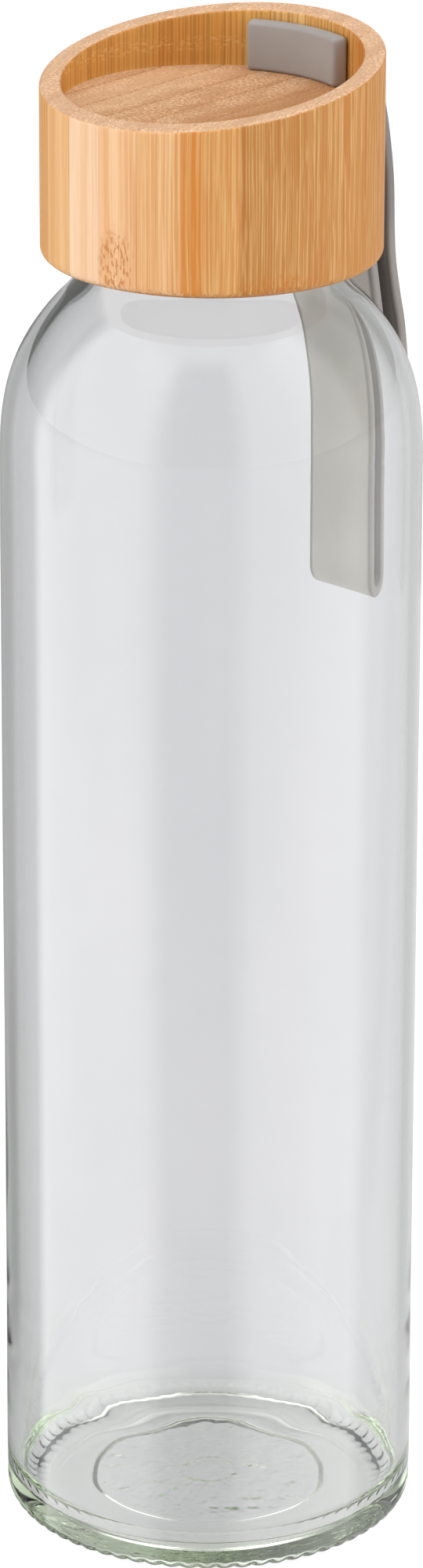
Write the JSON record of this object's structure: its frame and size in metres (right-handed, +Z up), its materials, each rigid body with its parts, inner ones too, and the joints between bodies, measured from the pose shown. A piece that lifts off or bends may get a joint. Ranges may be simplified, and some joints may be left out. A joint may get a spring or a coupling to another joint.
{
  "type": "glass water bottle",
  "caption": "Clear glass drinking bottle with a slant-topped bamboo screw lid, a plastic threaded insert, a silicone seal and a flat silicone carry strap.",
  "frame": {"origin": "centre of the base on the bottle's axis, in the plane the bottle stands on", "axes": "+Z up along the bottle's axis; +Y towards the carry strap and the high side of the lid's slanted rim"},
  "size_m": [0.065, 0.0736, 0.2404],
  "materials": {
    "clear_glass": "clear soda-lime glass, faint green in the thick base",
    "bamboo": "laminated bamboo, turned, sanded and lightly oiled",
    "insert_plastic": "natural white moulded polypropylene",
    "seal_silicone": "translucent white silicone",
    "strap_silicone": "satin warm grey silicone"
  },
  "bodies": {
    "bottle": {"glass_bottle": "clear_glass"},
    "seal": {"seal_ring": "seal_silicone"},
    "lid": {"bamboo_lid": "bamboo", "threaded_insert": "insert_plastic", "strap_anchor": "strap_silicone"},
    "strap": {"strap_loop": "strap_silicone"}
  },
  "joints": [
    {"name": "lid_rise", "type": "slide", "parent": "bottle", "child": "seal", "axis": [0, 0, 1], "range_m": [0, 0.018]},
    {"name": "lid_turn", "type": "hinge", "parent": "seal", "child": "lid", "pos_m": [0, 0, 0.2172], "axis": [0, 0, 1], "range_deg": [0, 1620]},
    {"name": "strap_swing", "type": "hinge", "parent": "lid", "child": "strap", "pos_m": [0, 0.0286, 0.2346], "axis": [1, 0, 0], "range_deg": [0, 165]}
  ],
  "couplings": [
    {"joint": "lid_rise", "follows": "lid_turn", "m_per_rad": 0.00063662}
  ]
}
